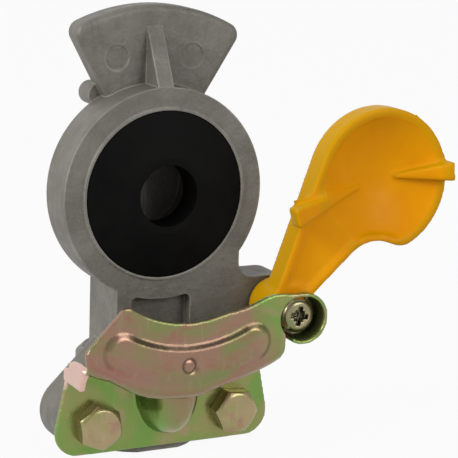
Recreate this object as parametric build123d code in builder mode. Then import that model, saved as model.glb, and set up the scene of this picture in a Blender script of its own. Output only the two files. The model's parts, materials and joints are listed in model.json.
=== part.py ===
from build123d import *
import os
from math import asin, atan2, cos, degrees, isclose, radians, sin

# Palm coupling for an air brake line, upright on its threaded port.
# The seal faces -Y and the cover swings on the +X side.
# Depths are counted forwards from the flat front face of the casting.

# Heights and places of the seal and the port
eye_z = 63.5
face_y = -14.0

# Round head of the casting
ring_r = 25.5
ring_depth = 11.1
head_back_r = 17.0
head_depth = 19.0
lip_width = 0.65
lip_rise = 0.45

# Seal and its seat
seal_r = 20.0
seal_gap = 0.1
seal_hole_r = 7.4
seal_rise = 2.5
seal_crest_r = 9.0
seal_edge_rise = 0.2
seal_foot_r = 21.3
seat_lip = 1.6
seat_depth = 5.5
chamber_r = 11.0
chamber_depth = 15.0

# Fan-shaped wing above the head
wing_r = 44.0
wing_setback = 7.2
wing_thickness = 7.0
wing_left_deg = 118.3
wing_right_deg = 57.9
wing_corner_r = 3.0
wing_edge_r = 1.6
wing_root_r = 20.0
rib_x = -0.2
rib_width = 4.0
rib_top_r = 39.0
pin_mark_r = 3.0
pin_mark_depth = 0.3
pin_mark_x = 9.7
pin_mark_z = 31.7
gate_stub_r = 2.8
gate_stub_length = 2.6
gate_stub_x = -12.6
gate_stub_z = 22.6

# Neck, air passage and threaded port
neck_half_width = 11.8
neck_depth = 18.5
neck_corner_r = 3.0
passage_r = 4.5
passage_setback = 11.0
port_boss_r = 15.0
port_boss_length = 22.5
port_boss_edge = 1.5
port_wall_r = 10.2
port_thread_length = 15.0

# Shallow pocket below the seal, which takes the rib of the other coupling
pocket_left = 8.0
pocket_right = 7.5
pocket_bottom = 41.0
pocket_depth = 3.0
pocket_corner_r = 1.5

# Guide plate, pressed from one sheet
sheet = 1.5
plate_front = 17.0
plate_inner_r = 27.2
plate_inner_start = 232.6
plate_inner_end = 287.0
plate_apex_r = 1.6
plate_shoulder_out = 0.745
plate_shoulder_up = 5.61
plate_shoulder_r = 4.0
plate_right = 25.1
plate_lobe_r = 1.0
ear_dip_setback = 16.2
ear_dip_rise = 4.0
ear_bend_setback = 9.5
ear_bend_rise = 0.1
wing_clearance = 0.5
wall_left_deg = 235.5
wall_right_deg = 303.0
bead_inner_r = 32.9
bead_outer_r = 42.4
bead_half_deg = 31.0
bead_rise = 1.2
bead_corner_r = 3.5
bead_flank_deg = 45
gusset_half_width = 7.7
gusset_reach = 12.3
gusset_flat_r = 1.0
gusset_hollow_step = 45
flange_middle = 0.7
flange_half_bottom = 29.4
flange_half_top = 24.1
flange_bottom = 62.0
flange_top = 36.0
flange_corner_r = 6.0
cheek_x = -26.4
cheek_top = 37.0
cheek_bottom = 44.5
cheek_reach = 14.0
cheek_front = 3.0
cheek_corner_r = 5.0

# Bolts that hold the guide plate
bolt_spacing = 36.4
bolt_middle = 0.6
bolt_drop = 54.2
bolt_r = 3.0
bolt_length = 12.0
bolt_head = 4.0
bolt_face_r = 4.75
bolt_across_flats = 10.0
bolt_chamfer_deg = 60.0
left_bolt_turn = 0.0
right_bolt_turn = 30.0
bolt_hole_gap = 0.3
thread_gap = 0.05
lobe_r = 8.2
lobe_depth = 13.0

# Pivot of the cover
pivot_x = 30.0
pivot_drop = 29.0
post_r = 3.5
post_height = 10.0
lug_r = 7.0
lug_depth = 10.5
lug_web_x = 20.4
lug_web_r = 4.0
cup_r = 6.3
screw_r = 2.0
screw_length = 9.0
screw_head_r = 3.9
screw_head = 2.6
screw_edge = 1.0
cross_width = 1.2
cross_length = 4.6
cross_depth = 1.5
cross_turn = -15.0
cross_taper_deg = 12

# Swinging cover
cover_back = 3.4
cover_front = 9.7
cover_r = 18.2
cover_reach = 39.2
cover_open_deg = 51.2
cover_wall = 1.8
cover_rim = 2.0
cover_recess = 0.7
bowl_r = 15.4
bowl_depth = 3.7
bowl_back_r = 16.3
bowl_back_floor_r = 6.0
arm_left = 5.35
arm_right_deg = 21.0
armpit_setback = 12.7
armpit_right = 5.7
armpit_r = 10.0
dish_start_deg = 240.2
dish_corner_r = 5.0
hub_r = 6.8
hub_gap = 0.3
pivot_gap = 0.05
grip_deg = 11.7
grip_width = 4.8
grip_top = 14.0
grip_left = 26.8
grip_right = 18.3
grip_start = 5.5
grip_start_width = 2.4
grip_start_top = 6.6
grip_left_lip = 4.0
grip_right_lip = 5.0


def front(depth):
    """Plane across the seal's axis, a depth ahead of the casting's front face."""
    return Plane(origin=(0, face_y - depth, eye_z), x_dir=(1, 0, 0), z_dir=(0, -1, 0))


def side(x):
    """Upright plane along the seal's axis, its first axis forwards and its second up."""
    return Plane(origin=(x, face_y, eye_z), x_dir=(0, -1, 0), z_dir=(-1, 0, 0))


def on_arm(depth):
    """Plane like front, centred on the pivot, its first axis along the cover's arm."""
    along = (cos(radians(cover_open_deg)), 0, sin(radians(cover_open_deg)))
    return Plane(origin=(pivot_x, face_y - depth, eye_z - pivot_drop), x_dir=along, z_dir=(0, -1, 0))


def polar(radius, angle):
    return (radius * cos(radians(angle)), radius * sin(radians(angle)))


def ring_sector(inner, outer, start, end):
    """Part of a ring round the seal's axis, between two angles."""
    with BuildLine() as outline:
        low = CenterArc((0, 0), inner, start, end - start)
        high = CenterArc((0, 0), outer, start, end - start)
        Line(low @ 0, high @ 0)
        Line(low @ 1, high @ 1)
    make_face(outline.edges())


def dome_section(half_width, reach):
    """Half section of a dome that is turned round its first axis, with a small flat at each end."""
    with BuildLine() as outline:
        crown = EllipticalCenterArc((0, gusset_flat_r), half_width, reach - gusset_flat_r, arc_size=180)
        Polyline(crown @ 0, (half_width, 0), (-half_width, 0), crown @ 1)
    make_face(outline.edges())


# Values that several pieces share
seal_axis = Axis((0, face_y, eye_z), (0, -1, 0))
pivot = (pivot_x, -pivot_drop)
seat_r = seal_r + seal_gap
foot_seat_r = seal_foot_r + seal_gap
wall_inner_r = wing_r + wing_clearance
wall_outer_r = wall_inner_r + sheet
wall_end = (wall_outer_r * cos(radians(wall_left_deg)), wall_outer_r * sin(radians(wall_left_deg)))
shoulder = (wall_end[0] - plate_shoulder_out, wall_end[1] + plate_shoulder_up)
plate_back = plate_front - sheet
cup_floor = post_height + sheet
gusset_line = Axis((flange_middle, face_y - sheet, eye_z - wall_outer_r), (1, 0, 0))
hollow_half_width = gusset_half_width - sheet
hollow_rise = gusset_reach - sheet - gusset_flat_r
gusset_section = Plane(gusset_line.position, x_dir=(1, 0, 0), z_dir=(0, -1, 1))
bolt_left = (bolt_middle - bolt_spacing / 2, -bolt_drop)
bolt_right = (bolt_middle + bolt_spacing / 2, -bolt_drop)
head_taper = degrees(atan2(ring_r - head_back_r, head_depth - ring_depth))
armpit = (cover_reach - armpit_setback, -armpit_right)
arm_slope = asin((cover_r - arm_left) / cover_reach)
skin_front = cover_front - cover_recess
skin_back = skin_front - cover_wall
bowl_floor = cover_front - bowl_depth
bowl_rise = skin_front - bowl_floor
bowl_sphere_r = (bowl_r**2 + bowl_rise**2) / (2 * bowl_rise)
bowl_centre = bowl_floor + bowl_sphere_r
dish_axis = Axis(on_arm(0).from_local_coords((cover_reach, 0)), (0, -1, 0))
dish_section = Plane(dish_axis.position, x_dir=(0, -1, 0), z_dir=(1, 0, 0))

os.makedirs("parts", exist_ok=True)

# Casting
with BuildPart() as body:
    # Threaded boss, cut flat where the guide plate lies on it
    with BuildSketch(Plane.XY):
        Circle(port_boss_r)
    extrude(amount=port_boss_length)
    chamfer(body.edges().group_by(Axis.Z)[-1], port_boss_edge)
    split(bisect_by=front(0), keep=Keep.BOTTOM)

    # Neck
    with BuildSketch(Plane.XY.offset(port_boss_length / 2)) as neck_section:
        with Locations((0, face_y)):
            Rectangle(2 * neck_half_width, neck_depth, align=(Align.CENTER, Align.MIN))
        fillet(neck_section.vertices().group_by(Axis.Y)[-1], neck_corner_r)
    extrude(amount=eye_z - port_boss_length / 2)

    # Round head, narrowing towards its back
    with BuildSketch(front(0)):
        Circle(ring_r)
    extrude(amount=-ring_depth)
    with BuildSketch(front(-ring_depth)):
        Circle(ring_r)
    extrude(amount=ring_depth - head_depth, taper=head_taper)
    with BuildSketch(front(0)):
        Circle(seat_r + lip_width)
    extrude(amount=lip_rise)

    # Pad behind the guide plate, with a lobe round each bolt
    with BuildSketch(front(0)):
        with Locations(bolt_left, bolt_right):
            Circle(lobe_r)
        with Locations((0, -pocket_bottom)):
            Rectangle(2 * neck_half_width, lobe_r)
        make_hull()
    extrude(amount=-lobe_depth)

    # Lug of the cover's pivot, with the post that the cover turns on
    with BuildSketch(front(0)) as lug_face:
        with BuildLine():
            Polyline(
                (0, -ring_r / 2),
                (lug_web_x, -ring_r / 2),
                (lug_web_x, lug_r - pivot_drop),
                (pivot_x, lug_r - pivot_drop),
                (pivot_x, -lug_r - pivot_drop),
                (neck_half_width, -wall_inner_r),
                (0, -wall_inner_r),
                close=True,
            )
        make_face()
        fillet(lug_face.vertices().sort_by_distance((lug_web_x, lug_r - pivot_drop))[0], lug_web_r)
        with Locations(pivot):
            Circle(lug_r)
    extrude(amount=-lug_depth)
    with BuildSketch(front(0)):
        with Locations(pivot):
            Circle(post_r)
    extrude(amount=post_height)

    # Wing with its rib and the flat marks of two ejector pins
    with BuildSketch(front(-wing_setback)) as wing_face:
        ring_sector(wing_root_r, wing_r, wing_right_deg, wing_left_deg)
        fillet(wing_face.vertices().sort_by(lambda corner: corner.X**2 + corner.Y**2)[-2:], wing_corner_r)
    extrude(amount=-wing_thickness)
    wing_rims = body.edges().filter_by(GeomType.CIRCLE).filter_by(lambda edge: isclose(edge.radius, wing_r))
    fillet(wing_rims, wing_edge_r)
    with BuildSketch(side(rib_x)):
        with BuildLine():
            Polyline(
                (-wing_setback - wing_thickness / 2, wing_root_r),
                (-wing_setback - wing_thickness / 2, rib_top_r),
                (-wing_setback, rib_top_r),
                (0, ring_r),
                (0, wing_root_r),
                close=True,
            )
        make_face()
    extrude(amount=rib_width / 2, both=True)
    with BuildSketch(front(-wing_setback)):
        with Locations((-pin_mark_x, pin_mark_z), (pin_mark_x, pin_mark_z)):
            Circle(pin_mark_r)
    extrude(amount=-pin_mark_depth, mode=Mode.SUBTRACT)
    with BuildSketch(front(-wing_setback - wing_thickness / 2)):
        with Locations((gate_stub_x, gate_stub_z)):
            Circle(gate_stub_r)
    extrude(amount=-wing_thickness / 2 - gate_stub_length)

    # Pocket below the seal
    with BuildSketch(front(0)) as pocket_face:
        with BuildLine():
            Polyline(
                (-pocket_left, -wing_root_r),
                (pocket_right, -wing_root_r),
                (pocket_right, -pocket_bottom),
                (-pocket_left, -pocket_bottom),
                close=True,
            )
        make_face()
        Circle(ring_r, mode=Mode.SUBTRACT)
        fillet(pocket_face.vertices(), pocket_corner_r)
    extrude(amount=-pocket_depth, mode=Mode.SUBTRACT)

    # Seat of the seal and the air chamber behind it
    with BuildSketch(side(0)):
        with BuildLine():
            Polyline(
                (lip_rise, 0),
                (lip_rise, seat_r),
                (-seat_lip, seat_r),
                (-seat_lip, foot_seat_r),
                (-seat_depth, foot_seat_r),
                (-seat_depth, chamber_r),
                (-chamber_depth, chamber_r),
                (-chamber_depth, 0),
                close=True,
            )
        make_face()
    revolve(axis=seal_axis, mode=Mode.SUBTRACT)

    # Air passage and the port's wall
    with BuildSketch(Plane.XY):
        with Locations((0, face_y + passage_setback)):
            Circle(passage_r)
    extrude(amount=eye_z, mode=Mode.SUBTRACT)
    with BuildSketch(Plane.XY):
        Circle(port_wall_r)
    extrude(amount=port_thread_length, mode=Mode.SUBTRACT)

    # Tapped holes for the bolts and for the cover's screw
    with BuildSketch(front(0)):
        with Locations(bolt_left, bolt_right):
            Circle(bolt_r + thread_gap)
    extrude(amount=sheet - bolt_length, mode=Mode.SUBTRACT)
    with BuildSketch(front(post_height)):
        with Locations(pivot):
            Circle(screw_r + thread_gap)
    extrude(amount=sheet - screw_length, mode=Mode.SUBTRACT)

body.part.label = "body"
export_step(body.part, "parts/body.step")

# Rubber seal, a ring with a raised cone round its hole and a foot held under the casting's lip
with BuildPart() as seal:
    with BuildSketch(side(0)):
        with BuildLine():
            Polyline(
                (seal_gap - seat_depth, seal_hole_r),
                (seal_rise, seal_hole_r),
                (seal_rise, seal_crest_r),
                (seal_edge_rise, seal_r),
                (-seat_lip - seal_gap, seal_r),
                (-seat_lip - seal_gap, seal_foot_r),
                (seal_gap - seat_depth, seal_foot_r),
                close=True,
            )
        make_face()
    revolve(axis=seal_axis)

seal.part.label = "seal"
export_step(seal.part, "parts/seal.step")

# Guide plate
with BuildPart() as guide_plate:
    # Half of a hollow dome, pressed out of the corner between flange and wall
    with BuildSketch(gusset_section):
        dome_section(gusset_half_width, gusset_reach)
    revolve(axis=gusset_line)
    with BuildSketch(front(0)):
        Circle(wall_inner_r + 2 * gusset_reach)
        Circle(wall_inner_r, mode=Mode.SUBTRACT)
    extrude(amount=plate_front, mode=Mode.INTERSECT)

    # Flange under the bolts
    with BuildSketch(front(0)) as flange_face:
        with BuildLine():
            Polyline(
                (flange_middle - flange_half_bottom, -flange_bottom),
                (flange_middle + flange_half_bottom, -flange_bottom),
                (flange_middle + flange_half_top, -flange_top),
                (flange_middle - flange_half_top, -flange_top),
                close=True,
            )
        make_face()
        fillet(flange_face.vertices().group_by(Axis.Y)[0], flange_corner_r)
        Circle(wall_inner_r, mode=Mode.SUBTRACT)
    extrude(amount=sheet)

    # Wall that brings the sheet forward, outside the other coupling's wing
    with BuildSketch(front(0)):
        ring_sector(wall_inner_r, wall_outer_r, wall_left_deg, wall_right_deg)
    extrude(amount=plate_front)
    with BuildSketch(side(cheek_x)) as cheek_face:
        with Locations((plate_front - cheek_reach, -cheek_bottom)):
            Rectangle(cheek_reach - cheek_front, cheek_bottom - cheek_top, align=(Align.MIN, Align.MIN))
        fillet(cheek_face.vertices().group_by(Axis.Y)[0].sort_by(Axis.X)[-1], cheek_corner_r)
    extrude(amount=-sheet)

    # Hollow behind the dome
    with BuildSketch(gusset_section):
        with BuildLine():
            crown = [
                (hollow_half_width * cos(radians(angle)), gusset_flat_r + hollow_rise * sin(radians(angle)))
                for angle in range(0, 181, gusset_hollow_step)
            ]
            Polyline((hollow_half_width, 0), *crown, (-hollow_half_width, 0), close=True)
        make_face()
    revolve(axis=gusset_line, mode=Mode.SUBTRACT)
    with BuildSketch(front(0)):
        with Locations(bolt_left, bolt_right):
            Circle(bolt_r + bolt_hole_gap)
    extrude(amount=sheet, mode=Mode.SUBTRACT)

    # Front of the plate, which holds the wing in, with an ear for the pivot
    with BuildSketch(front(plate_back)) as plate_face:
        with BuildLine():
            inner_edge = CenterArc((0, 0), plate_inner_r, plate_inner_start, plate_inner_end - plate_inner_start)
            ear_edge = Spline(
                inner_edge @ 1,
                (pivot_x - ear_dip_setback, ear_dip_rise - pivot_drop),
                (pivot_x - ear_bend_setback, cup_r - pivot_drop + ear_bend_rise),
                (pivot_x, cup_r - pivot_drop),
                tangents=[inner_edge % 1, (1, 0)],
            )
            outer_edge = CenterArc((0, 0), wall_outer_r, wall_right_deg, wall_left_deg - wall_right_deg)
            Polyline(
                ear_edge @ 1,
                pivot,
                (plate_right, -pivot_drop - cup_r / 2),
                outer_edge @ 0,
            )
            Polyline(
                outer_edge @ 1,
                shoulder,
                inner_edge @ 0,
            )
        make_face()
        fillet(plate_face.vertices().sort_by_distance(inner_edge @ 0)[0], plate_apex_r)
        fillet(plate_face.vertices().sort_by_distance(shoulder)[0], plate_shoulder_r)
        fillet(plate_face.vertices().sort_by_distance(outer_edge @ 0)[0], plate_lobe_r)
    extrude(amount=sheet)

    # Pivot cup
    with BuildSketch(front(post_height)):
        with Locations(pivot):
            Circle(cup_r)
    extrude(amount=plate_front - post_height)
    with BuildSketch(front(cup_floor)):
        with Locations(pivot):
            Circle(cup_r - sheet)
    extrude(amount=plate_front - cup_floor, mode=Mode.SUBTRACT)
    with BuildSketch(front(post_height)):
        with Locations(pivot):
            Circle(screw_r + bolt_hole_gap)
    extrude(amount=sheet, mode=Mode.SUBTRACT)

    # Arc-shaped bead, raised from behind
    with BuildSketch(front(plate_front)) as bead_face:
        ring_sector(bead_inner_r, bead_outer_r, 270 - bead_half_deg, 270 + bead_half_deg)
        fillet(bead_face.vertices(), bead_corner_r)
    extrude(amount=bead_rise, taper=bead_flank_deg)

guide_plate.part.label = "guide_plate"
export_step(guide_plate.part, "parts/guide_plate.step")

# Bolts of the guide plate, their hexagons turned as they came to rest
for name, place, turn in (("left_bolt", bolt_left, left_bolt_turn), ("right_bolt", bolt_right, right_bolt_turn)):
    with BuildPart() as bolt:
        with BuildSketch(front(sheet)):
            with Locations(place):
                RegularPolygon(bolt_across_flats / 2, 6, major_radius=False, rotation=turn)
        extrude(amount=bolt_head)
        with BuildSketch(front(sheet + bolt_head)):
            with Locations(place):
                Circle(bolt_face_r)
        extrude(amount=-bolt_head, taper=-bolt_chamfer_deg, mode=Mode.INTERSECT)
        with BuildSketch(front(sheet)):
            with Locations(place):
                Circle(bolt_r)
        extrude(amount=-bolt_length)
    bolt.part.label = name
    export_step(bolt.part, f"parts/{name}.step")

# Screw that closes the pivot, with a cross recess
with BuildPart() as cover_screw:
    with BuildSketch(front(cup_floor)):
        with Locations(pivot):
            Circle(screw_head_r)
    extrude(amount=screw_head)
    chamfer(cover_screw.edges().group_by(Axis.Y)[0], screw_edge)
    with BuildSketch(front(cup_floor + screw_head)):
        with Locations(pivot):
            Rectangle(cross_width, cross_length, rotation=cross_turn)
            Rectangle(cross_length, cross_width, rotation=cross_turn)
    extrude(amount=-cross_depth, taper=cross_taper_deg, mode=Mode.SUBTRACT)
    with BuildSketch(front(cup_floor)):
        with Locations(pivot):
            Circle(screw_r)
    extrude(amount=-screw_length)

cover_screw.part.label = "cover_screw"
export_step(cover_screw.part, "parts/cover_screw.step")


# Outline of the cover's dish and arm, seen from in front with the pivot at its origin
with BuildSketch() as cover_outline:
    with BuildLine():
        left_edge = Line(
            (-arm_left * sin(arm_slope), arm_left * cos(arm_slope)),
            (cover_reach - cover_r * sin(arm_slope), cover_r * cos(arm_slope)),
        )
        dish_edge = CenterArc((cover_reach, 0), cover_r, dish_start_deg, 450 + degrees(arm_slope) - dish_start_deg)
        Polyline(
            left_edge @ 0,
            polar(hub_r, -arm_right_deg),
            armpit,
            dish_edge @ 0,
        )
    make_face()
    fillet(cover_outline.vertices().sort_by_distance(armpit)[0], armpit_r)
    fillet(cover_outline.vertices().sort_by_distance(dish_edge @ 0)[0], dish_corner_r)

# Swinging cover, hollow behind
with BuildPart() as cover:
    with BuildSketch(on_arm(cover_back)):
        add(cover_outline.sketch)
    extrude(amount=cover_front - cover_back)
    with BuildSketch(on_arm(cover_back)):
        add(cover_outline.sketch)
        offset(amount=-cover_wall)
        Circle(hub_r, mode=Mode.SUBTRACT)
    extrude(amount=skin_back - cover_back, mode=Mode.SUBTRACT)
    with BuildSketch(on_arm(skin_front)):
        add(cover_outline.sketch)
        offset(amount=-cover_rim)
        Circle(hub_r, mode=Mode.SUBTRACT)
    extrude(amount=cover_recess, mode=Mode.SUBTRACT)

    # Shallow bowl in the middle of the dish
    with BuildSketch(dish_section):
        with BuildLine():
            Polyline(
                (skin_back, 0),
                (skin_back, bowl_back_r),
                (bowl_floor - cover_wall, bowl_back_floor_r),
                (bowl_floor - cover_wall, 0),
                close=True,
            )
        make_face()
    revolve(axis=dish_axis)
    with BuildSketch(dish_section):
        with Locations((bowl_centre, 0)):
            Circle(bowl_sphere_r)
        with Locations((bowl_floor, 0)):
            Rectangle(skin_front - bowl_floor, cover_r, align=Align.MIN, mode=Mode.INTERSECT)
    revolve(axis=dish_axis, mode=Mode.SUBTRACT)

    # Hub round the post
    with BuildSketch(on_arm(hub_gap)):
        Circle(hub_r)
    extrude(amount=cover_front - hub_gap)
    with BuildSketch(on_arm(hub_gap)):
        Circle(post_r + pivot_gap)
    extrude(amount=cover_front - hub_gap, mode=Mode.SUBTRACT)

    # Two finger grips, rising outwards from the bowl
    for turn, reach, lip in ((grip_deg, grip_right, grip_right_lip), (grip_deg + 180, grip_left, grip_left_lip)):
        outwards = Vector(cos(radians(turn)), 0, sin(radians(turn)))
        for distance, half_width, top, height in (
            (grip_start, grip_start_width / 2, grip_start_top, cover_wall),
            (reach, grip_width / 2, grip_top, lip),
        ):
            with BuildSketch(Plane(dish_axis.position + outwards * distance, x_dir=(0, -1, 0), z_dir=outwards)):
                with Locations((top, 0)):
                    Rectangle(height, 2 * half_width, align=(Align.MAX, Align.CENTER))
        loft()

cover.part.label = "cover"
export_step(cover.part, "parts/cover.step")
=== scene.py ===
import json
import math

import bpy
from mathutils import Matrix, Vector


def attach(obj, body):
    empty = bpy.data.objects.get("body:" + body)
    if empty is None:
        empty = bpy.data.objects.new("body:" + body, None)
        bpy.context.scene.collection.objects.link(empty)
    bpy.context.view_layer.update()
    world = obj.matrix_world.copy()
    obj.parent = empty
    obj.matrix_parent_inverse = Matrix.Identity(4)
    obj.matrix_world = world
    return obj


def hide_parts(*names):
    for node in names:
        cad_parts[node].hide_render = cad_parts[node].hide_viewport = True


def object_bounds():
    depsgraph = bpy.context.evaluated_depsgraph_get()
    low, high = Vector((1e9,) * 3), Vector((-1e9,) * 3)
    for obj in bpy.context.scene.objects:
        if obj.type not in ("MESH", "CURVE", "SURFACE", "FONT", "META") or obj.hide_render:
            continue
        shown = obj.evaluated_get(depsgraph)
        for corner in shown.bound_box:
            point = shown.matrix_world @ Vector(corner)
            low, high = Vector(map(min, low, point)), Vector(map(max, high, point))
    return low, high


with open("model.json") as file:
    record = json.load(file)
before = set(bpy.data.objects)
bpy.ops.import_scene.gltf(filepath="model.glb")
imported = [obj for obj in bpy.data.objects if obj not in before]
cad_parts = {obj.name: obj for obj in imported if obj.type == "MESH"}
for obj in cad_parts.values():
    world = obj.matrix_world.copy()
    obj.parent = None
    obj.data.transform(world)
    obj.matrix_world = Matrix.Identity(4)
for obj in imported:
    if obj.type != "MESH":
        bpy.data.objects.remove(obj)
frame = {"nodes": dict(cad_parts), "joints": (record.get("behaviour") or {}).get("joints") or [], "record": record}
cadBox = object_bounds()
nodes = frame["nodes"]
bpy.ops.object.select_all(action="DESELECT")

# Points that several pieces use, read from the frame
mounts = {mount["name"]: Vector(mount["pos_m"]) for mount in frame["record"]["mounts"]}
sealCentre = mounts["mating_head"]
pivotPoint = Vector(frame["joints"][0]["pos_m"])
pivotAtFace = Vector((pivotPoint.x, sealCentre.y, pivotPoint.z))
print("frame loaded")


# A place in millimetres from the seal's centre: across, ahead of the casting's face, and up
def at(across, ahead, up):
    return sealCentre + Vector((across, -ahead, up)) / 1000


# A unit step in the seal's plane, its turn counted from the right upwards
def towards(turn):
    angle = math.radians(turn)
    return Vector((math.cos(angle), 0, math.sin(angle)))


# Camera at the photograph's angle
camera = {
    "place": (-0.1892, -0.4144, 0.1540),
    "right": (0.8915, -0.4518, 0.0332),
    "up": (0.0692, 0.2083, 0.9756),
    "lens": 150.2,
    "sensor": 36.0,
    "nearest": 0.01,
    "furthest": 20.0,
}


def addCamera(settings):
    data = bpy.data.cameras.new("photoCamera")
    data.lens = settings["lens"]
    data.sensor_width = settings["sensor"]
    data.clip_start = settings["nearest"]
    data.clip_end = settings["furthest"]
    right = Vector(settings["right"]).normalized()
    back = right.cross(Vector(settings["up"])).normalized()
    turn = Matrix((right, back.cross(right), back)).transposed().to_4x4()
    holder = bpy.data.objects.new("photoCamera", data)
    holder.matrix_world = Matrix.Translation(settings["place"]) @ turn
    bpy.context.scene.collection.objects.link(holder)
    bpy.context.scene.camera = holder


addCamera(camera)
print("camera")


# A colour as it reads on screen, 0 to 255, for a shader's socket
def tone(red, green, blue):
    channels = []
    for level in (red, green, blue):
        share = level / 255
        channels.append(share / 12.92 if share <= 0.04045 else ((share + 0.055) / 1.055) ** 2.4)
    return (*channels, 1.0)


# Sets a node's sockets, each to a number or colour, or to what another node gives
def fill(tree, node, sockets):
    for name, value in sockets.items():
        if isinstance(value, bpy.types.NodeSocket):
            tree.links.new(value, node.inputs[name])
        else:
            node.inputs[name].default_value = value


def put(tree, kind, sockets, **options):
    node = tree.nodes.new("ShaderNode" + kind)
    for name, value in options.items():
        setattr(node, name, value)
    fill(tree, node, sockets)
    return node


def maths(tree, how, first, second):
    return put(tree, "Math", {0: first, 1: second}, operation=how).outputs[0]


def times(tree, first, second):
    return maths(tree, "MULTIPLY", first, second)


def larger(tree, first, second):
    return maths(tree, "MAXIMUM", first, second)


# Fades from one level to another while a value runs from low to high
def between(tree, value, low, high, toLow=0.0, toHigh=1.0, how="LINEAR"):
    sockets = {"Value": value, "From Min": low, "From Max": high, "To Min": toLow, "To Max": toHigh}
    return put(tree, "MapRange", sockets, interpolation_type=how).outputs[0]


# 1 inside a band of values, fading out past both its sides
def band(tree, value, start, full, fading, end):
    return times(tree, between(tree, value, start, full), between(tree, value, end, fading))


def grain(tree, place, scale, detail=4.0, rough=0.55, warp=0.0):
    sockets = {"Vector": place, "Scale": scale, "Detail": detail, "Roughness": rough, "Distortion": warp}
    return put(tree, "TexNoise", sockets).outputs[0]


# A pattern's place, drawn out so that the pattern makes lines
def drawnOut(tree, place, scale, turn):
    return put(tree, "Mapping", {"Vector": place, "Scale": scale, "Rotation": turn}).outputs[0]


def blendColour(tree, share, first, second):
    sockets = {0: share, 6: first, 7: second}
    return put(tree, "Mix", sockets, data_type="RGBA").outputs[2]


def ramp(tree, value, places, colours):
    node = put(tree, "ValToRGB", {0: value})
    marks = node.color_ramp.elements
    while len(marks) < len(places):
        marks.new(1.0)
    for mark, place, colour in zip(marks, places, colours):
        mark.position = place
        mark.color = colour
    return node.outputs[0]


def bump(tree, height, depth, under):
    sockets = {"Height": height, "Strength": 1.0, "Distance": depth, "Normal": under}
    return put(tree, "Bump", sockets).outputs[0]


# The surface's direction, with its edges rounded off within a reach
def softNormal(tree, reach, samples=6):
    return put(tree, "Bevel", {"Radius": reach}, samples=samples).outputs[0]


# How near a point is to an edge: where the rounded direction turns away from the true one
def nearEdge(tree, reach, low, high):
    true = put(tree, "NewGeometry", {}).outputs["Normal"]
    turned = put(tree, "VectorMath", {0: softNormal(tree, reach), 1: true}, operation="DOT_PRODUCT")
    return between(tree, turned.outputs["Value"], high, low)


# One part of a vector: 0 across, 1 in depth, 2 upwards
def partOf(tree, vector, axis):
    return put(tree, "SeparateXYZ", {0: vector}).outputs[axis]


# Fades in from one distance to another left of (0), ahead of (1) or below (2) the seal's centre
def pastSeal(tree, place, axis, start, full):
    return between(tree, partOf(tree, place, axis), sealCentre[axis] - start, sealCentre[axis] - full)


# Distance from an axis that runs along Y through a centre, and the way round it from straight down
def aroundAxis(tree, place, centre):
    offset = put(tree, "VectorMath", {0: place, 1: centre}, operation="SUBTRACT").outputs[0]
    across, upwards = partOf(tree, offset, 0), partOf(tree, offset, 2)
    flat = put(tree, "CombineXYZ", {0: across, 2: upwards}).outputs[0]
    radius = put(tree, "VectorMath", {0: flat}, operation="LENGTH").outputs["Value"]
    turn = maths(tree, "ARCTAN2", across, times(tree, upwards, -1.0))
    return radius, turn


def startMaterial(name):
    material = bpy.data.materials.new(name)
    material.use_nodes = True
    tree = material.node_tree
    shader = tree.nodes["Principled BSDF"]
    place = put(tree, "TexCoord", {}).outputs["Object"]
    return material, tree, shader, place


# Soft studio light: a bright wall behind and to the left, a dimmer room in front, a pale floor
studio = {
    "towardsWall": (-0.62, 0.76, 0.18),
    "wallLevel": 1.0,
    "roomLevel": 0.42,
    "roomFade": (-0.45, 0.55),
    "glossLevel": 0.60,
    "glossFade": (-0.05, 0.40),
    "lamps": {
        "keyLamp": {"place": (-1.0, -0.22, 0.5), "power": 7.0, "size": 0.5},
        "fillLamp": {"place": (0.45, -0.95, 0.5), "power": 4.8, "size": 0.6},
    },
    "floorSize": 6.0,
    "floorColour": (0.4, 0.4, 0.4, 1.0),
    "floorGlow": 0.94,
}


def addLamp(name, settings):
    data = bpy.data.lights.new(name, "AREA")
    data.energy = settings["power"]
    data.size = settings["size"]
    lamp = bpy.data.objects.new(name, data)
    lamp.location = settings["place"]
    lamp.rotation_euler = (sealCentre - lamp.location).to_track_quat("-Z", "Y").to_euler()
    bpy.context.scene.collection.objects.link(lamp)


# Dull surfaces see the dim room, glossy ones a paler room, and the camera and clear ones plain white
def addWorld(settings):
    world = bpy.data.worlds.new("studio")
    bpy.context.scene.world = world
    world.use_nodes = True
    tree = world.node_tree
    way = put(tree, "TexCoord", {}).outputs["Generated"]
    wall = Vector(settings["towardsWall"]).normalized()
    facing = put(tree, "VectorMath", {0: way, 1: wall}, operation="DOT_PRODUCT").outputs["Value"]
    dull, glossy = [
        between(tree, facing, *settings[fade], settings[level], settings["wallLevel"], "SMOOTHSTEP")
        for fade, level in (("roomFade", "roomLevel"), ("glossFade", "glossLevel"))
    ]
    path = put(tree, "LightPath", {}).outputs
    lit = put(tree, "Mix", {0: path["Is Glossy Ray"], 2: dull, 3: glossy}).outputs[0]
    direct = larger(tree, path["Is Camera Ray"], path["Is Transmission Ray"])
    strength = larger(tree, direct, lit)
    fill(tree, tree.nodes["Background"], {"Color": (1.0, 1.0, 1.0, 1.0), "Strength": strength})


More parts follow.
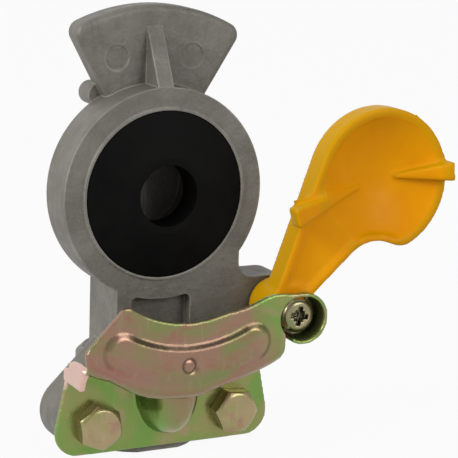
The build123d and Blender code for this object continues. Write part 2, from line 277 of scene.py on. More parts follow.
# Pale to the camera and in gloss, while the matte paint keeps the object's shadow
def addFloor(settings):
    bpy.ops.mesh.primitive_plane_add(size=settings["floorSize"], location=(0, 0, cadBox[0][2]))
    floor = bpy.context.object
    floor.name = "floor"
    paint = bpy.data.materials.new("floorPaint")
    paint.use_nodes = True
    tree = paint.node_tree
    tree.nodes.clear()
    matte = put(tree, "BsdfDiffuse", {"Color": settings["floorColour"]}).outputs[0]
    glow = put(tree, "Emission", {}).outputs[0]
    path = put(tree, "LightPath", {}).outputs
    seen = larger(tree, path["Is Camera Ray"], path["Is Glossy Ray"])
    share = times(tree, seen, settings["floorGlow"])
    surface = put(tree, "MixShader", {0: share, 1: matte, 2: glow}).outputs[0]
    put(tree, "OutputMaterial", {"Surface": surface})
    floor.data.materials.append(paint)


addWorld(studio)
for lampName, lampSettings in studio["lamps"].items():
    addLamp(lampName, lampSettings)
addFloor(studio)
bpy.context.scene.view_settings.view_transform = "Standard"
print("light and floor")


def pickOnly(piece):
    bpy.ops.object.select_all(action="DESELECT")
    piece.select_set(True)
    bpy.context.view_layer.objects.active = piece


def settle(piece):
    pickOnly(piece)
    bpy.ops.object.transform_apply(location=True, rotation=True, scale=True)


def applyAll(piece):
    pickOnly(piece)
    for modifier in list(piece.modifiers):
        bpy.ops.object.modifier_apply(modifier=modifier.name)


# Edit mode with the whole mesh selected
def startEdit(piece):
    pickOnly(piece)
    bpy.ops.object.mode_set(mode="EDIT")
    bpy.ops.mesh.select_all(action="SELECT")


def endEdit():
    bpy.ops.object.mode_set(mode="OBJECT")


def mergeClose(piece, distance):
    startEdit(piece)
    bpy.ops.mesh.remove_doubles(threshold=distance / 1000)
    endEdit()


# A merged copy of a solid, to be cut and rounded for the render
def copyOf(nodeName, name):
    piece = nodes[nodeName].copy()
    piece.data = nodes[nodeName].data.copy()
    piece.name = name
    piece.parent = None
    piece.matrix_world = Matrix.Identity(4)
    bpy.context.scene.collection.objects.link(piece)
    mergeClose(piece, 0.002)
    return piece


def block(low, high):
    bpy.ops.mesh.primitive_cube_add(size=1.0, location=(low + high) / 2)
    piece = bpy.context.object
    piece.scale = [abs(far - near) for near, far in zip(low, high)]
    settle(piece)
    return piece


# A round bar along Y, from one depth ahead of the casting's face to another, in millimetres
def bar(centre, near, far, radius, sides=96):
    bpy.ops.mesh.primitive_cylinder_add(
        vertices=sides, radius=radius / 1000, depth=(far - near) / 1000,
        location=centre + Vector((0, -(near + far) / 2000, 0)), rotation=(math.radians(90), 0, 0)
    )
    piece = bpy.context.object
    settle(piece)
    return piece


def combine(piece, tool, how="DIFFERENCE"):
    work = piece.modifiers.new(how.lower(), "BOOLEAN")
    work.operation = how
    work.solver = "EXACT"
    work.object = tool
    applyAll(piece)
    bpy.data.objects.remove(tool, do_unlink=True)


# Fine even mesh with its edges rounded off, as moulding and pressing leave them
def roundOff(piece, cell, rounds):
    skin = piece.modifiers.new("evenMesh", "REMESH")
    skin.mode = "VOXEL"
    skin.voxel_size = cell / 1000
    ease = piece.modifiers.new("ease", "SMOOTH")
    ease.factor = 0.5
    ease.iterations = rounds
    applyAll(piece)
    bpy.ops.object.shade_smooth()


def coat(piece, finish):
    piece.data.materials.clear()
    piece.data.materials.append(finish)


# The piece shows instead of the solid whose place it takes
def finishPiece(piece, finish, body, nodeName):
    coat(piece, finish)
    coat(nodes[nodeName], finish)
    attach(piece, body)
    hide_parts(nodeName)


# Aluminium casting: dull grey with fine pits, brighter edges and a few sooty streaks
# In this and the other finishes, distances are in metres
casting = {
    "dark": tone(90, 87, 80),
    "light": tone(116, 113, 105),
    "worn": tone(164, 161, 152),
    "soot": tone(70, 66, 60),
    "cloud": {"scale": 75.0, "detail": 6.0, "rough": 0.62, "warp": 0.6},
    "cloudStops": (0.32, 0.68),
    "streakWay": {"scale": (1.0, 1.0, 0.18), "turn": (0.2, 0.5, 0.1)},
    "streak": {"scale": 520.0, "detail": 3.0, "rough": 0.6, "warp": 0.4},
    "streakRange": (0.56, 0.74, 0.0, 0.35),
    "pits": {"scale": 1500.0, "detail": 2.0, "rough": 0.5},
    "pitRange": (0.30, 0.70, 0.0, 0.45),
    "pitDepth": 0.00007,
    "lumps": {"scale": 420.0, "detail": 3.0, "rough": 0.5},
    "lumpDepth": 0.00022,
    "edge": {"reach": 0.0007, "low": 0.90, "high": 0.995},
    "wornRange": (0.35, 0.6, 0.2, 0.7),
    "gloss": {"scale": 260.0, "detail": 4.0},
    "roughRange": (0.3, 0.7, 0.46, 0.66),
    "softReach": 0.0004,
    "metal": 0.25,
}


def castAluminium(settings):
    material, tree, shader, place = startMaterial("castAluminium")
    cloud = grain(tree, place, **settings["cloud"])
    base = ramp(tree, cloud, settings["cloudStops"], (settings["dark"], settings["light"]))
    lines = drawnOut(tree, place, **settings["streakWay"])
    streak = between(tree, grain(tree, lines, **settings["streak"]), *settings["streakRange"])
    base = blendColour(tree, streak, base, settings["soot"])
    speckle = grain(tree, place, **settings["pits"])
    base = blendColour(tree, between(tree, speckle, *settings["pitRange"]), base, settings["light"])
    edge = nearEdge(tree, **settings["edge"])
    broken = times(tree, edge, between(tree, cloud, *settings["wornRange"]))
    base = blendColour(tree, broken, base, settings["worn"])
    rough = between(tree, grain(tree, place, **settings["gloss"]), *settings["roughRange"])
    soft = softNormal(tree, settings["softReach"])
    lumps = bump(tree, grain(tree, place, **settings["lumps"]), settings["lumpDepth"], soft)
    pits = bump(tree, speckle, settings["pitDepth"], lumps)
    sockets = {"Base Color": base, "Metallic": settings["metal"], "Roughness": rough, "Normal": pits}
    fill(tree, shader, sockets)
    return material


castMetal = castAluminium(casting)
coat(nodes["body"], castMetal)

# Moulded rubber with a faint cloudy bloom
rubber = {
    "dark": tone(7, 7, 7),
    "bloom": tone(15, 15, 14),
    "cloud": {"scale": 160.0, "detail": 5.0, "rough": 0.6},
    "cloudStops": (0.35, 0.75),
    "roughRange": (0.3, 0.7, 0.48, 0.62),
    "skin": {"scale": 1900.0, "detail": 2.0},
    "skinDepth": 0.00003,
    "softReach": 0.0005,
    "specular": 0.05,
}


def sealRubber(settings):
    material, tree, shader, place = startMaterial("sealRubber")
    cloud = grain(tree, place, **settings["cloud"])
    base = ramp(tree, cloud, settings["cloudStops"], (settings["dark"], settings["bloom"]))
    rough = between(tree, cloud, *settings["roughRange"])
    soft = softNormal(tree, settings["softReach"])
    skin = bump(tree, grain(tree, place, **settings["skin"]), settings["skinDepth"], soft)
    sockets = {"Base Color": base, "Roughness": rough, "Specular IOR Level": settings["specular"]}
    fill(tree, shader, {**sockets, "Normal": skin})
    return material


coat(nodes["seal"], sealRubber(rubber))
print("casting and seal")

# Cover as it is moulded: soft rims, a bowl that runs out to the rim, and two tapered grips
# Lengths are in millimetres, and a ramp's width is above its grip or, below zero, under it
coverForm = {
    "front": 9.7,
    "frontCut": {"across": (15, 85), "up": (-45, 35), "clear": 25},
    "reach": 39.2,
    "openDeg": 51.2,
    "armpit": {"across": 53.37, "up": -23.28, "radius": 10.0, "near": 0.5, "far": 12.0},
    "bowl": {"opening": 15.1, "depth": 4.2, "across": 0.3, "up": 1.5},
    "grip": {
        "from": 5.0, "startTop": 6.8, "startBase": 5.0, "startWidth": 1.0, "endTop": 14.0, "endWidth": 4.8,
    },
    "grips": (
        {"turn": 195.0, "to": 26.8, "lip": 4.2, "ramps": (5.0,)},
        {"turn": 6.9, "to": 18.3, "lip": 5.0, "ramps": (2.2, -3.0)},
    ),
    "ramp": {
        "rampTo": 17.5, "belowCrest": 0.4, "startShare": 0.12,
        "startFoot": (5.9, 4.9), "endFoot": (9.5, 6.4),
    },
    "pip": {"turn": 60.0, "reach": 18.1, "ahead": 8.8, "radius": 0.55},
    "cell": 0.40,
    "rounds": 7,
}
dishCentre = pivotAtFace + towards(coverForm["openDeg"]) * coverForm["reach"] / 1000

# Plastic of the cover with a faint orange-peel skin; its olive edges, rim and sides are painted light, a tint for
# light in the thicker plastic and on the side walls
plastic = {
    "deep": tone(214, 136, 0),
    "body": tone(226, 150, 0),
    "pale": tone(236, 166, 0),
    # Painted light: the rim and side tones tint the edges and side walls
    "rim": tone(200, 145, 0),
    "side": tone(196, 146, 0),
    "cloud": {"scale": 45.0, "detail": 3.0, "rough": 0.5, "warp": 0.3},
    "cloudStops": (0.30, 0.55, 0.80),
    "edge": {"reach": 0.0026, "low": 0.80, "high": 0.99},
    "rimRadius": (0.0150, 0.0168, 0.0180, 0.0195),
    "rimAhead": (0.0091, 0.0095),
    "rimShare": 0.8,
    "sideRange": (-0.75, -0.35),
    "gloss": {"scale": 240.0, "detail": 4.0},
    "roughRange": (0.3, 0.7, 0.34, 0.46),
    "softReach": 0.0014,
    "softSamples": 8,
    "bowlRadius": 0.0160,
    "bowlCurve": 9.0,
    "skin": {"scale": 700.0, "detail": 2.0},
    "skinDepth": 0.00004,
    "specular": 0.08,
}


def coverPlastic(settings):
    material, tree, shader, place = startMaterial("coverPlastic")
    cloud = grain(tree, place, **settings["cloud"])
    colours = (settings["deep"], settings["body"], settings["pale"])
    base = ramp(tree, cloud, settings["cloudStops"], colours)
    # Painted light: an olive tint round the rim and along the edges, for light scattered in the thicker plastic
    fromDish = aroundAxis(tree, place, dishCentre)[0]
    around = band(tree, fromDish, *settings["rimRadius"])
    around = times(tree, around, pastSeal(tree, place, 1, *settings["rimAhead"]))
    rim = larger(tree, nearEdge(tree, **settings["edge"]), around)
    base = blendColour(tree, times(tree, rim, settings["rimShare"]), base, settings["rim"])
    # Painted light: the side walls and grip flanks take a tint by the way they face
    facing = put(tree, "TexCoord", {}).outputs["Normal"]
    aside = between(tree, partOf(tree, facing, 1), *settings["sideRange"])
    base = blendColour(tree, aside, base, settings["side"])
    rough = between(tree, grain(tree, place, **settings["gloss"]), *settings["roughRange"])
    soft = softNormal(tree, settings["softReach"], settings["softSamples"])
    inBowl = maths(tree, "MINIMUM", fromDish, settings["bowlRadius"])
    bowl = bump(tree, times(tree, times(tree, inBowl, inBowl), settings["bowlCurve"]), 1.0, soft)
    skin = bump(tree, grain(tree, place, **settings["skin"]), settings["skinDepth"], bowl)
    sockets = {"Base Color": base, "Roughness": rough, "Specular IOR Level": settings["specular"]}
    fill(tree, shader, {**sockets, "Normal": skin})
    return material


# A wedge along a ray from the dish's centre, its eight corners given by where they lie
def wedge(turn, place):
    bpy.ops.mesh.primitive_cube_add(size=2.0, location=(0, 0, 0))
    piece = bpy.context.object
    for corner in piece.data.vertices:
        corner.co = Vector(place(corner.co.x > 0, corner.co.y < 0, corner.co.z > 0)) / 1000
    piece.rotation_euler = (0, -math.radians(turn), 0)
    piece.location = dishCentre
    settle(piece)
    startEdit(piece)
    bpy.ops.mesh.normals_make_consistent(inside=False)
    endEdit()
    return piece


# It starts thin and low near the dish's centre and ends wide and high past the rim
def grip(form):
    def place(atEnd, onTop, aside):
        reach = form["to"] if atEnd else form["from"]
        top = form["endTop"] if atEnd else form["startTop"]
        base = form["endTop"] - form["lip"] if atEnd else form["startBase"]
        half = (form["endWidth"] if atEnd else form["startWidth"]) / 2
        return (reach, -(top if onTop else base), half if aside else -half)

    return wedge(form["turn"], place)


# The sloping root on one side of a grip, from its top down to the bowl
def gripRamp(form, width):
    rise = (form["endTop"] - form["startTop"]) / (form["to"] - form["from"])
    upwards = 1 if form["turn"] < 90 else -1

    def place(atEnd, onTop, aside):
        reach = form["rampTo"] if atEnd else form["from"]
        crest = form["startTop"] + rise * (reach - form["from"]) - form["belowCrest"]
        foot, base = form["endFoot"] if atEnd else form["startFoot"]
        sideways = upwards * width * (1.0 if atEnd else form["startShare"]) if aside else 0.0
        return (reach, -((foot if aside else crest) if onTop else base), sideways)

    return wedge(form["turn"], place)


def mouldedCover(settings, finish):
    cover = copyOf("cover", "mouldedCover")
    (left, right), (low, high) = settings["frontCut"]["across"], settings["frontCut"]["up"]
    combine(cover, block(at(left, settings["front"], low), at(right, settings["frontCut"]["clear"], high)))
    armpit = settings["armpit"]
    place = at(armpit["across"], 0, armpit["up"])
    combine(cover, bar(place, armpit["near"], armpit["far"], armpit["radius"], 128))

    # The bowl is cut by a ball that is as wide at the front as the bowl's opening
    bowl = settings["bowl"]
    ball = (bowl["opening"]**2 + bowl["depth"]**2) / (2 * bowl["depth"])
    shift = Vector((bowl["across"], 0, bowl["up"])) / 1000
    place = dishCentre + shift + Vector((0, -(settings["front"] - bowl["depth"] + ball) / 1000, 0))
    bpy.ops.mesh.primitive_uv_sphere_add(segments=128, ring_count=96, radius=ball / 1000, location=place)
    settle(bpy.context.object)
    combine(cover, bpy.context.object)

    forms = [{**settings["grip"], **settings["ramp"], **form} for form in settings["grips"]]
    parts = [grip(form) for form in forms]
    parts += [gripRamp(form, width) for form in forms for width in form["ramps"]]
    pip = settings["pip"]
    place = dishCentre + towards(pip["turn"]) * (pip["reach"] / 1000)
    place += Vector((0, -pip["ahead"] / 1000, 0))
    bpy.ops.mesh.primitive_ico_sphere_add(subdivisions=3, radius=pip["radius"] / 1000, location=place)
    settle(bpy.context.object)
    parts.append(bpy.context.object)
    pickOnly(cover)
    for part in parts:
        part.select_set(True)
    bpy.ops.object.join()
    roundOff(cover, settings["cell"], settings["rounds"])
    finishPiece(cover, finish, "cover", "cover")


mouldedCover(coverForm, coverPlastic(plastic))
print("moulded cover")

# Yellow passivated zinc: on each piece the film drifts between two colours and a stain
plating = {
    "front": {
        "main": tone(148, 116, 98), "second": tone(124, 130, 80), "stain": tone(150, 102, 90),
        "driftScale": 130.0, "driftRange": (0.42, 0.68), "stainScale": 300.0,
    },
    "flange": {
        "main": tone(114, 148, 72), "second": tone(140, 142, 86), "stain": tone(170, 134, 116),
        "driftScale": 80.0, "driftRange": (0.42, 0.62), "stainScale": 130.0,
    },
    "bolt": {
        "main": tone(166, 148, 112), "second": tone(148, 146, 92), "stain": tone(160, 120, 108),
        "driftScale": 130.0, "driftRange": (0.40, 0.60), "stainScale": 260.0,
    },
    "screw": {
        "main": tone(160, 148, 116), "second": tone(132, 134, 96), "stain": tone(150, 122, 108),
        "driftScale": 160.0, "driftRange": (0.40, 0.60), "stainScale": 300.0,
    },
    "drift": {"detail": 2.0, "rough": 0.5, "warp": 0.5},
    "stain": {"detail": 4.0, "rough": 0.6, "warp": 0.6},
    "stainRange": (0.52, 0.70, 0.0, 0.8),
    "cream": tone(226, 218, 186),
    # Dark tone for painted shade in the cup, along the bead, round the button and in the screw's cross
    "paintedShade": tone(44, 38, 24),
    "scratchWay": {"scale": (1.0, 1.0, 0.12), "turn": (0.1, 0.7, 0.0)},
    "scratch": {"scale": 900.0, "detail": 2.0, "rough": 0.5},
    "scratchRange": (0.60, 0.72, 0.0, 0.05),
    "edge": {"reach": 0.0004, "low": 0.90, "high": 0.995},
    "edgeHighlightShare": 0.35,
    "gloss": {"scale": 150.0, "detail": 4.0, "rough": 0.6},
    "glossRange": (0.3, 0.7),
    "waves": {"scale": 110.0, "detail": 2.0},
    "waveDepth": 0.0004,
    "skin": {"scale": 1300.0, "detail": 3.0},
    "skinDepth": 0.00003,
    "softReach": 0.0006,
    "metal": 0.8,
}


def zincFilm(tree, way, settings, name):
    film = settings[name]
    drift = grain(tree, way, film["driftScale"], **settings["drift"])
    mixed = blendColour(tree, between(tree, drift, *film["driftRange"]), film["main"], film["second"])
    stain = grain(tree, way, film["stainScale"], **settings["stain"])
    return blendColour(tree, between(tree, stain, *settings["stainRange"]), mixed, film["stain"])


# Scratches, cream edges that are a painted highlight, and the wavy skin that all the plated pieces share
def zincSkin(tree, shader, place, base, settings, roughness):
    lines = drawnOut(tree, place, **settings["scratchWay"])
    scratch = between(tree, grain(tree, lines, **settings["scratch"]), *settings["scratchRange"])
    base = blendColour(tree, scratch, base, settings["cream"])
    # Cream along the edges is a painted highlight
    edge = times(tree, nearEdge(tree, **settings["edge"]), settings["edgeHighlightShare"])
    base = blendColour(tree, edge, base, settings["cream"])
    rough = between(tree, grain(tree, place, **settings["gloss"]), *settings["glossRange"], *roughness)
    soft = softNormal(tree, settings["softReach"])
    waves = bump(tree, grain(tree, place, **settings["waves"]), settings["waveDepth"], soft)
    skin = bump(tree, grain(tree, place, **settings["skin"]), settings["skinDepth"], waves)
    sockets = {"Base Color": base, "Metallic": settings["metal"], "Roughness": rough, "Normal": skin}
    fill(tree, shader, sockets)


# Guide plate as it is pressed: rounded bend, soft bead with a button, rolled-in end
# Lengths are in millimetres, and turns in degrees round the seal from straight down
plateForm = {
    "outer": 46.0,
    "front": 17.0,
    "bend": {"radius": 3.0, "fromTurn": -40, "toAcross": 25.6},
    "edge": (
        (-60, 46.0), (-36, 45.6), (-31, 45.1), (-26.6, 44.5), (-21.6, 44.9), (-17.8, 45.5), (-12, 46.0),
        (4.3, 46.0), (7.7, 45.3), (14.8, 44.9), (23, 45.3), (29, 45.8), (34, 46.0), (60, 46.0),
    ),
    "edgeAhead": (3.5, 10.0),
    "edgeRadius": (39.0, 45.5),
    "edgeTo": 47,
    "beadZone": {"ahead": 16.7, "inner": 30, "outer": 45.9, "toAcross": 24.5},
    "bead": {
        "middle": 37.0, "from": -28.3, "to": 25.6, "reach": 4.5, "rise": 0.95,
        "upperFlank": 2.0, "lowerFlank": 3.4, "flankInside": 0.75,
        "lowerOut": (-1.0, 3.5), "lowerTurn": (-31.0, -26.0),
    },
    "button": {
        "across": -0.8, "up": -37.2, "radius": 1.45, "inside": 0.3, "outside": 0.25, "rise": 0.15,
        "dent": 0.55, "dentShift": 0.5, "dentFade": (1.4, 2.4),
    },
    "dome": {"middle": 0.8, "narrow": 0.82, "half": 10, "fromRadius": 46.2, "ahead": (1.7, 8.0)},
    "leftCuts": (
        ((-29, -1, -39.0), (-20.4, 6, -30)),
        ((-24.85, 1.6, -42.0), (-20.4, 9, -30)),
        ((-29, 2, -47.0), (-24.85, 15.6, -42.2)),
    ),
    "cupCuts": (
        {"across": 0.0, "up": 0.0, "radius": 5.4},
        {"across": -1.4, "up": 0.4, "radius": 5.1},
    ),
    "cupDepth": (11.5, 18.0),
    "cornerCut": ((25.1, 10, -40.0), (27.0, 18, -31.4)),
    "earCut": {"across": (20, 33.5), "ahead": (8, 14.6), "abovePivot": (3.2, 9)},
    "cell": 0.36,
    "rounds": 5,
}

# Where the sheet's film changes and where shade and a highlight are painted on it, in metres and radians
sheetZones = {
    "arcStretch": 0.016,
    "flangeAhead": (0.0145, 0.0080),
    "earWander": {"scale": 120.0},
    "earWanderShare": 0.3,
    "earTurn": (0.62, 0.78),
    "cupRadius": (0.0062, 0.0050),
    "cupAhead": (0.0166, 0.0150),
    "cupShare": 0.8,
    # Pale pink painted highlight on the rolled-in end
    "rolledEndHighlight": tone(212, 178, 164),
    "rolledLeft": (0.0243, 0.0249),
    "rolledAhead": (0.0152, 0.0146),
    "rolledBelow": (0.0455, 0.0440),
    # Bands of painted shade on the bead's upper flank and ends, and of painted shadow round the button
    "flankRadius": (0.0320, 0.0327, 0.0334, 0.0340),
    "flankTurn": (-0.52, -0.46, 0.44, 0.50),
    "endRadius": (0.0037, 0.0043, 0.0046, 0.0052),
    "endFade": (0.01, 0.03),
    "endShares": {"to": 0.6, "from": 0.35},
    "buttonRadius": (0.00125, 0.00155, 0.00185, 0.00215),
    "buttonShadowShare": 0.8,
    "shadeAhead": (0.0160, 0.0166),
    "shadeShare": 0.75,
    "roughness": (0.18, 0.34),
}


# The front of the sheet is pinkish along the arc, the flange behind it green
def platedSheet(settings, zones, bead, button):
    material, tree, shader, place = startMaterial("platedSheet")
    radius, turn = aroundAxis(tree, place, sealCentre)
    sockets = {0: times(tree, turn, zones["arcStretch"]), 1: partOf(tree, place, 1), 2: radius}
    front = zincFilm(tree, put(tree, "CombineXYZ", sockets).outputs[0], settings, "front")
    flange = zincFilm(tree, place, settings, "flange")
    back = pastSeal(tree, place, 1, *zones["flangeAhead"])
    wander = times(tree, grain(tree, place, **zones["earWander"]), zones["earWanderShare"])
    ear = between(tree, maths(tree, "ADD", turn, wander), *zones["earTurn"])
    base = blendColour(tree, larger(tree, back, ear), front, flange)

    # Painted shade darkens the inside of the cup round the pivot
    inCup = between(tree, aroundAxis(tree, place, pivotPoint)[0], *zones["cupRadius"])
    inCup = times(tree, inCup, pastSeal(tree, place, 1, *zones["cupAhead"]))
    base = blendColour(tree, times(tree, inCup, zones["cupShare"]), base, settings["paintedShade"])

    # Painted highlight on the rolled-in left end, where it faces the light
    endHighlight = pastSeal(tree, place, 0, *zones["rolledLeft"])
    endHighlight = times(tree, endHighlight, pastSeal(tree, place, 1, *zones["rolledAhead"]))
    endHighlight = times(tree, endHighlight, pastSeal(tree, place, 2, *zones["rolledBelow"]))
    base = blendColour(tree, endHighlight, base, zones["rolledEndHighlight"])

    # Painted shade lies along the bead's upper flank and round its two ends, and a painted shadow rings the button
    flank = band(tree, radius, *zones["flankRadius"])
    flank = times(tree, flank, band(tree, turn, *zones["flankTurn"]))
    for end, share in zones["endShares"].items():
        endTurn = math.radians(bead[end])
        side = math.copysign(1.0, endTurn)
        centre = at(bead["middle"] * math.sin(endTurn), 0, -bead["middle"] * math.cos(endTurn))
        around = band(tree, aroundAxis(tree, place, centre)[0], *zones["endRadius"])
        before, after = zones["endFade"]
        beyond = between(tree, turn, endTurn - side * before, endTurn + side * after)
        flank = larger(tree, flank, times(tree, times(tree, around, beyond), share))
    fromButton = aroundAxis(tree, place, at(button["across"], 0, button["up"]))[0]
    around = band(tree, fromButton, *zones["buttonRadius"])
    flank = larger(tree, flank, times(tree, around, zones["buttonShadowShare"]))
    shaded = times(tree, flank, pastSeal(tree, place, 1, *zones["shadeAhead"]))
    base = blendColour(tree, times(tree, shaded, zones["shadeShare"]), base, settings["paintedShade"])
    zincSkin(tree, shader, place, base, settings, zones["roughness"])
    return material


def eased(value, low, high):
    share = min(1.0, max(0.0, (value - low) / (high - low)))
    return share * share * (3 - 2 * share)


def readTable(table, value):
    for (lowAt, low), (highAt, high) in zip(table, table[1:]):
        if lowAt <= value <= highAt:
            return low + (high - low) * (value - lowAt) / (highAt - lowAt)
    return table[0][1] if value < table[0][0] else table[-1][1]


# How far the bead stands out at a place on the sheet
def beadRise(radius, turn, bead):
    beyond = max(bead["from"] - turn, turn - bead["to"], 0.0)
    away = math.hypot(math.radians(beyond) * radius, radius - bead["middle"])
    lower = eased(radius - bead["middle"], *bead["lowerOut"]) * eased(turn, *bead["lowerTurn"])
    flank = bead["upperFlank"] * (1 - lower) + bead["lowerFlank"] * lower
    inside, outside = flank * bead["flankInside"], flank * (1 - bead["flankInside"])
    return bead["rise"] * (1 - eased(away, bead["reach"] - inside, bead["reach"] + outside))


# How far the button stands out of the bead, less the dent beside it
def buttonRise(across, up, button):
    fromButton = math.hypot(across - button["across"], up - button["up"])
    fromDent = math.hypot(across - button["across"] - button["dentShift"], up - button["up"])
    inner, outer = button["radius"] - button["inside"], button["radius"] + button["outside"]
    raised = (button["rise"] + button["dent"]) * (1 - eased(fromButton, inner, outer))
    return raised - button["dent"] * (1 - eased(fromDent, *button["dentFade"]))


def pressShape(piece, settings):
    outer, front, bend = settings["outer"], settings["front"], settings["bend"]
    zone, dome = settings["beadZone"], settings["dome"]
    for corner in piece.data.vertices:
        offset = (corner.co.x - sealCentre.x, sealCentre.y - corner.co.y, corner.co.z - sealCentre.z)
        across, ahead, up = [1000 * value for value in offset]
        radius, turn = math.hypot(across, up), math.degrees(math.atan2(across, -up))
        if ahead > zone["ahead"] and zone["inner"] < radius < zone["outer"] and across < zone["toAcross"]:
            ahead = min(ahead, front) + beadRise(radius, turn, settings["bead"])
            ahead += buttonRise(across, up, settings["button"])
        out, forward = radius - outer + bend["radius"], ahead - front + bend["radius"]
        if turn > bend["fromTurn"] and across < bend["toAcross"] and out > 0 and forward > 0:
            pull = max(out, forward) / math.hypot(out, forward)
            radius = outer - bend["radius"] + out * pull
            ahead = front - bend["radius"] + forward * pull
        if radius < settings["edgeTo"]:
            trim = (outer - readTable(settings["edge"], turn)) * eased(ahead, *settings["edgeAhead"])
            radius -= trim * eased(radius, *settings["edgeRadius"])
        across, up = radius * math.sin(math.radians(turn)), -radius * math.cos(math.radians(turn))
        aside = across - dome["middle"]
        if radius > dome["fromRadius"] and ahead > dome["ahead"][0] and abs(aside) < dome["half"]:
            across = dome["middle"] + aside * (1 - (1 - dome["narrow"]) * eased(ahead, *dome["ahead"]))
        corner.co = at(across, ahead, up)


def pressedPlate(settings, finish):
    plate = copyOf("guide_plate", "pressedPlate")
    pivotAcross = 1000 * (pivotPoint.x - sealCentre.x)
    pivotUp = 1000 * (pivotPoint.z - sealCentre.z)
    for low, high in settings["leftCuts"]:
        combine(plate, block(at(*low), at(*high)))
    for cut in settings["cupCuts"]:
        place = at(pivotAcross + cut["across"], 0, pivotUp + cut["up"])
        combine(plate, bar(place, *settings["cupDepth"], cut["radius"]))
    low, high = settings["cornerCut"]
    combine(plate, block(at(*low), at(*high)))
    (left, right), (near, far), (below, above) = settings["earCut"].values()
    combine(plate, block(at(left, near, pivotUp + below), at(right, far, pivotUp + above)))
    roundOff(plate, settings["cell"], settings["rounds"])
    pressShape(plate, settings)
    finishPiece(plate, finish, "casting", "guide_plate")


pressedPlate(plateForm, platedSheet(plating, sheetZones, plateForm["bead"], plateForm["button"]))
print("pressed plate")

# Bolts, their hexagons turned as they came to rest, in millimetres and degrees
boltForm = {
    "bolts": (
        {"name": "leftBolt", "node": "left_bolt", "across": -17.1, "up": -54.5, "turn": -7.0},
        {"name": "rightBolt", "node": "right_bolt", "across": 18.9, "up": -54.5, "turn": 34.5},
    ),
    "seat": 1.5,
    "height": 4.0,
    "acrossFlats": 10.0,
    "faceRadius": 4.38,
    "chamfer": 0.90,
    "coneSpan": 3,
    "clearRadius": 12.0,
    "lap": 0.2,
    "edgeWidth": 0.18,
    "shank": 2.9,
    "length": 9.5,
    "overlap": 1.0,
    "roughness": (0.18, 0.32),
}


def platedBolt(settings, roughness):
    material, tree, shader, place = startMaterial("platedBolt")
    base = zincFilm(tree, place, settings, "bolt")
    zincSkin(tree, shader, place, base, settings, roughness)
    return material


def softEdges(piece, width, segments):
    mergeClose(piece, 0.012)
    edges = piece.modifiers.new("edges", "BEVEL")
    edges.width = width / 1000
    edges.segments = segments
    edges.limit_method = "ANGLE"
    edges.angle_limit = math.radians(25)
    applyAll(piece)
    mergeClose(piece, 0.004)
    bpy.ops.object.shade_smooth_by_angle(angle=math.radians(35))


def hexBolt(place, settings, finish):
    centre = at(place["across"], 0, place["up"])
    seat, face, overlap = settings["seat"], settings["faceRadius"], settings["overlap"]
    top = seat + settings["height"]
    corner = settings["acrossFlats"] / math.sqrt(3)
    bolt = bar(centre, seat, top, corner, 6)
    bolt.rotation_euler = (0, math.radians(place["turn"]), 0)
    bolt.location = centre - Matrix.Rotation(math.radians(place["turn"]), 3, "Y") @ centre
    settle(bolt)

    # A cone with the round face on top cuts the six corners back, and a wide bar below it keeps the rest
    depth = settings["coneSpan"] * settings["chamfer"]
    wide = face + settings["coneSpan"] * (corner - face)
    bpy.ops.mesh.primitive_cone_add(
        vertices=96, radius1=wide / 1000, radius2=face / 1000, depth=depth / 1000,
        location=centre + Vector((0, -(top - depth / 2) / 1000, 0)), rotation=(math.radians(90), 0, 0)
    )
    chamfer = bpy.context.object
    settle(chamfer)
    below = bar(centre, seat - overlap, top - depth + settings["lap"], settings["clearRadius"])
    combine(chamfer, below, "UNION")
    combine(bolt, chamfer, "INTERSECT")
    combine(bolt, bar(centre, seat - settings["length"], seat + overlap, settings["shank"], 48), "UNION")
    bolt.name = place["name"]
    softEdges(bolt, settings["edgeWidth"], 2)
    finishPiece(bolt, finish, "casting", place["node"])


boltFinish = platedBolt(plating, boltForm["roughness"])
for boltPlace in boltForm["bolts"]:
    hexBolt(boltPlace, boltForm, boltFinish)
print("bolts")

# Pan-head screw that holds the cover on its post, in millimetres and degrees, but the painted shade in its cross
# recess in metres
screwForm = {
    "seat": 11.5,
    "height": 2.8,
    "radius": 4.25,
    "roundedEdge": 1.5,
    "faceMargin": 0.1,
    "cross": {"turn": 9.0, "width": 1.3, "length": 4.8, "depth": 1.6, "above": 0.5},
    "recess": {"mouth": 2.16, "tip": 0.4, "depth": 2.6, "below": 1.1},
    "shank": 1.9,
    "length": 8.5,
    "overlap": 0.6,
    "roughness": (0.18, 0.32),
    "crossShade": {"radius": (0.0029, 0.0026), "ahead": (0.0142, 0.0136), "share": 0.85},
}


# Painted shade darkens the cross recess of the screw
def platedScrew(settings, roughness, crossShade):
    material, tree, shader, place = startMaterial("platedScrew")
    base = zincFilm(tree, place, settings, "screw")
    inCross = between(tree, aroundAxis(tree, place, pivotPoint)[0], *crossShade["radius"])
    inCross = times(tree, inCross, pastSeal(tree, place, 1, *crossShade["ahead"]))
    base = blendColour(tree, times(tree, inCross, crossShade["share"]), base, settings["paintedShade"])
    zincSkin(tree, shader, place, base, settings, roughness)
    return material


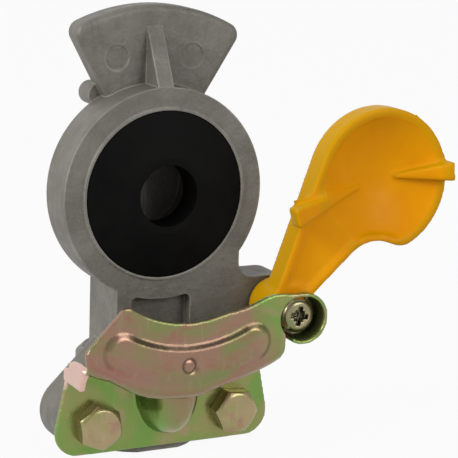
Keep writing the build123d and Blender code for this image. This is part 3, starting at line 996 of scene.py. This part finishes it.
def panScrew(settings, finish):
    centre = pivotAtFace
    seat, cross, recess = settings["seat"], settings["cross"], settings["recess"]
    top = seat + settings["height"]
    screw = bar(centre, seat, top, settings["radius"], 72)
    startEdit(screw)
    bpy.ops.mesh.select_all(action="DESELECT")
    endEdit()
    faceDepth = centre.y - (top - settings["faceMargin"]) / 1000
    for edge in screw.data.edges:
        edge.select = all(screw.data.vertices[end].co.y < faceDepth for end in edge.vertices)
    bpy.ops.object.mode_set(mode="EDIT")
    bpy.ops.mesh.select_mode(type="EDGE")
    bpy.ops.mesh.bevel(offset=settings["roundedEdge"] / 1000, segments=7)
    endEdit()
    half = Vector((cross["length"], 0, cross["width"])) / 2000
    for quarter in (0, 90):
        low = centre + Vector((-half.x, -(top + cross["above"]) / 1000, -half.z))
        high = centre + Vector((half.x, -(top - cross["depth"]) / 1000, half.z))
        arm = block(low, high)
        swing = Matrix.Rotation(math.radians(cross["turn"] + quarter), 3, "Y")
        arm.rotation_euler = swing.to_euler()
        arm.location = centre - swing @ centre
        settle(arm)
        combine(screw, arm)
    bpy.ops.mesh.primitive_cone_add(
        vertices=4, radius1=recess["mouth"] / 1000, radius2=recess["tip"] / 1000,
        depth=recess["depth"] / 1000, location=centre + Vector((0, -(top - recess["below"]) / 1000, 0)),
        rotation=(math.radians(-90), math.radians(cross["turn"] + 45), 0)
    )
    settle(bpy.context.object)
    combine(screw, bpy.context.object)
    shank = bar(centre, seat - settings["length"], seat + settings["overlap"], settings["shank"], 40)
    combine(screw, shank, "UNION")
    screw.name = "pivotScrew"
    mergeClose(screw, 0.004)
    bpy.ops.object.shade_smooth_by_angle(angle=math.radians(35))
    finishPiece(screw, finish, "casting", "cover_screw")


panScrew(screwForm, platedScrew(plating, screwForm["roughness"], screwForm["crossShade"]))
print("pivot screw")

# Thread of the port, a ridge wound up the wall of its bore, in millimetres
threadForm = {
    "wall": 10.2,
    "sunk": 0.1,
    "depth": 0.35,
    "width": 1.2,
    "start": 0.5,
    "pitch": 1.5,
    "turns": 9,
    "steps": 72,
}


def portThread(settings, finish):
    bpy.ops.mesh.primitive_circle_add(vertices=3, radius=0.001, fill_type="NOTHING", location=(0, 0, 0))
    thread = bpy.context.object
    thread.name = "portThread"
    low, high = settings["start"], settings["start"] + settings["width"]
    inner, outer = settings["wall"] - settings["depth"], settings["wall"] + settings["sunk"]
    section = ((outer, low), (outer, high), (inner, (low + high) / 2))
    for corner, (out, up) in zip(thread.data.vertices, section):
        corner.co = Vector((out, 0, up)) / 1000
    wind = thread.modifiers.new("wind", "SCREW")
    wind.angle = math.radians(360)
    wind.screw_offset = settings["pitch"] / 1000
    wind.iterations = settings["turns"]
    wind.steps = settings["steps"]
    wind.render_steps = settings["steps"]
    applyAll(thread)
    mergeClose(thread, 0.0005)
    startEdit(thread)
    bpy.ops.mesh.fill_holes(sides=3)
    bpy.ops.mesh.select_all(action="SELECT")
    bpy.ops.mesh.normals_make_consistent(inside=False)
    endEdit()
    bpy.ops.object.shade_smooth_by_angle(angle=math.radians(30))
    coat(thread, finish)
    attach(thread, "casting")


portThread(threadForm, castMetal)
print("port thread")
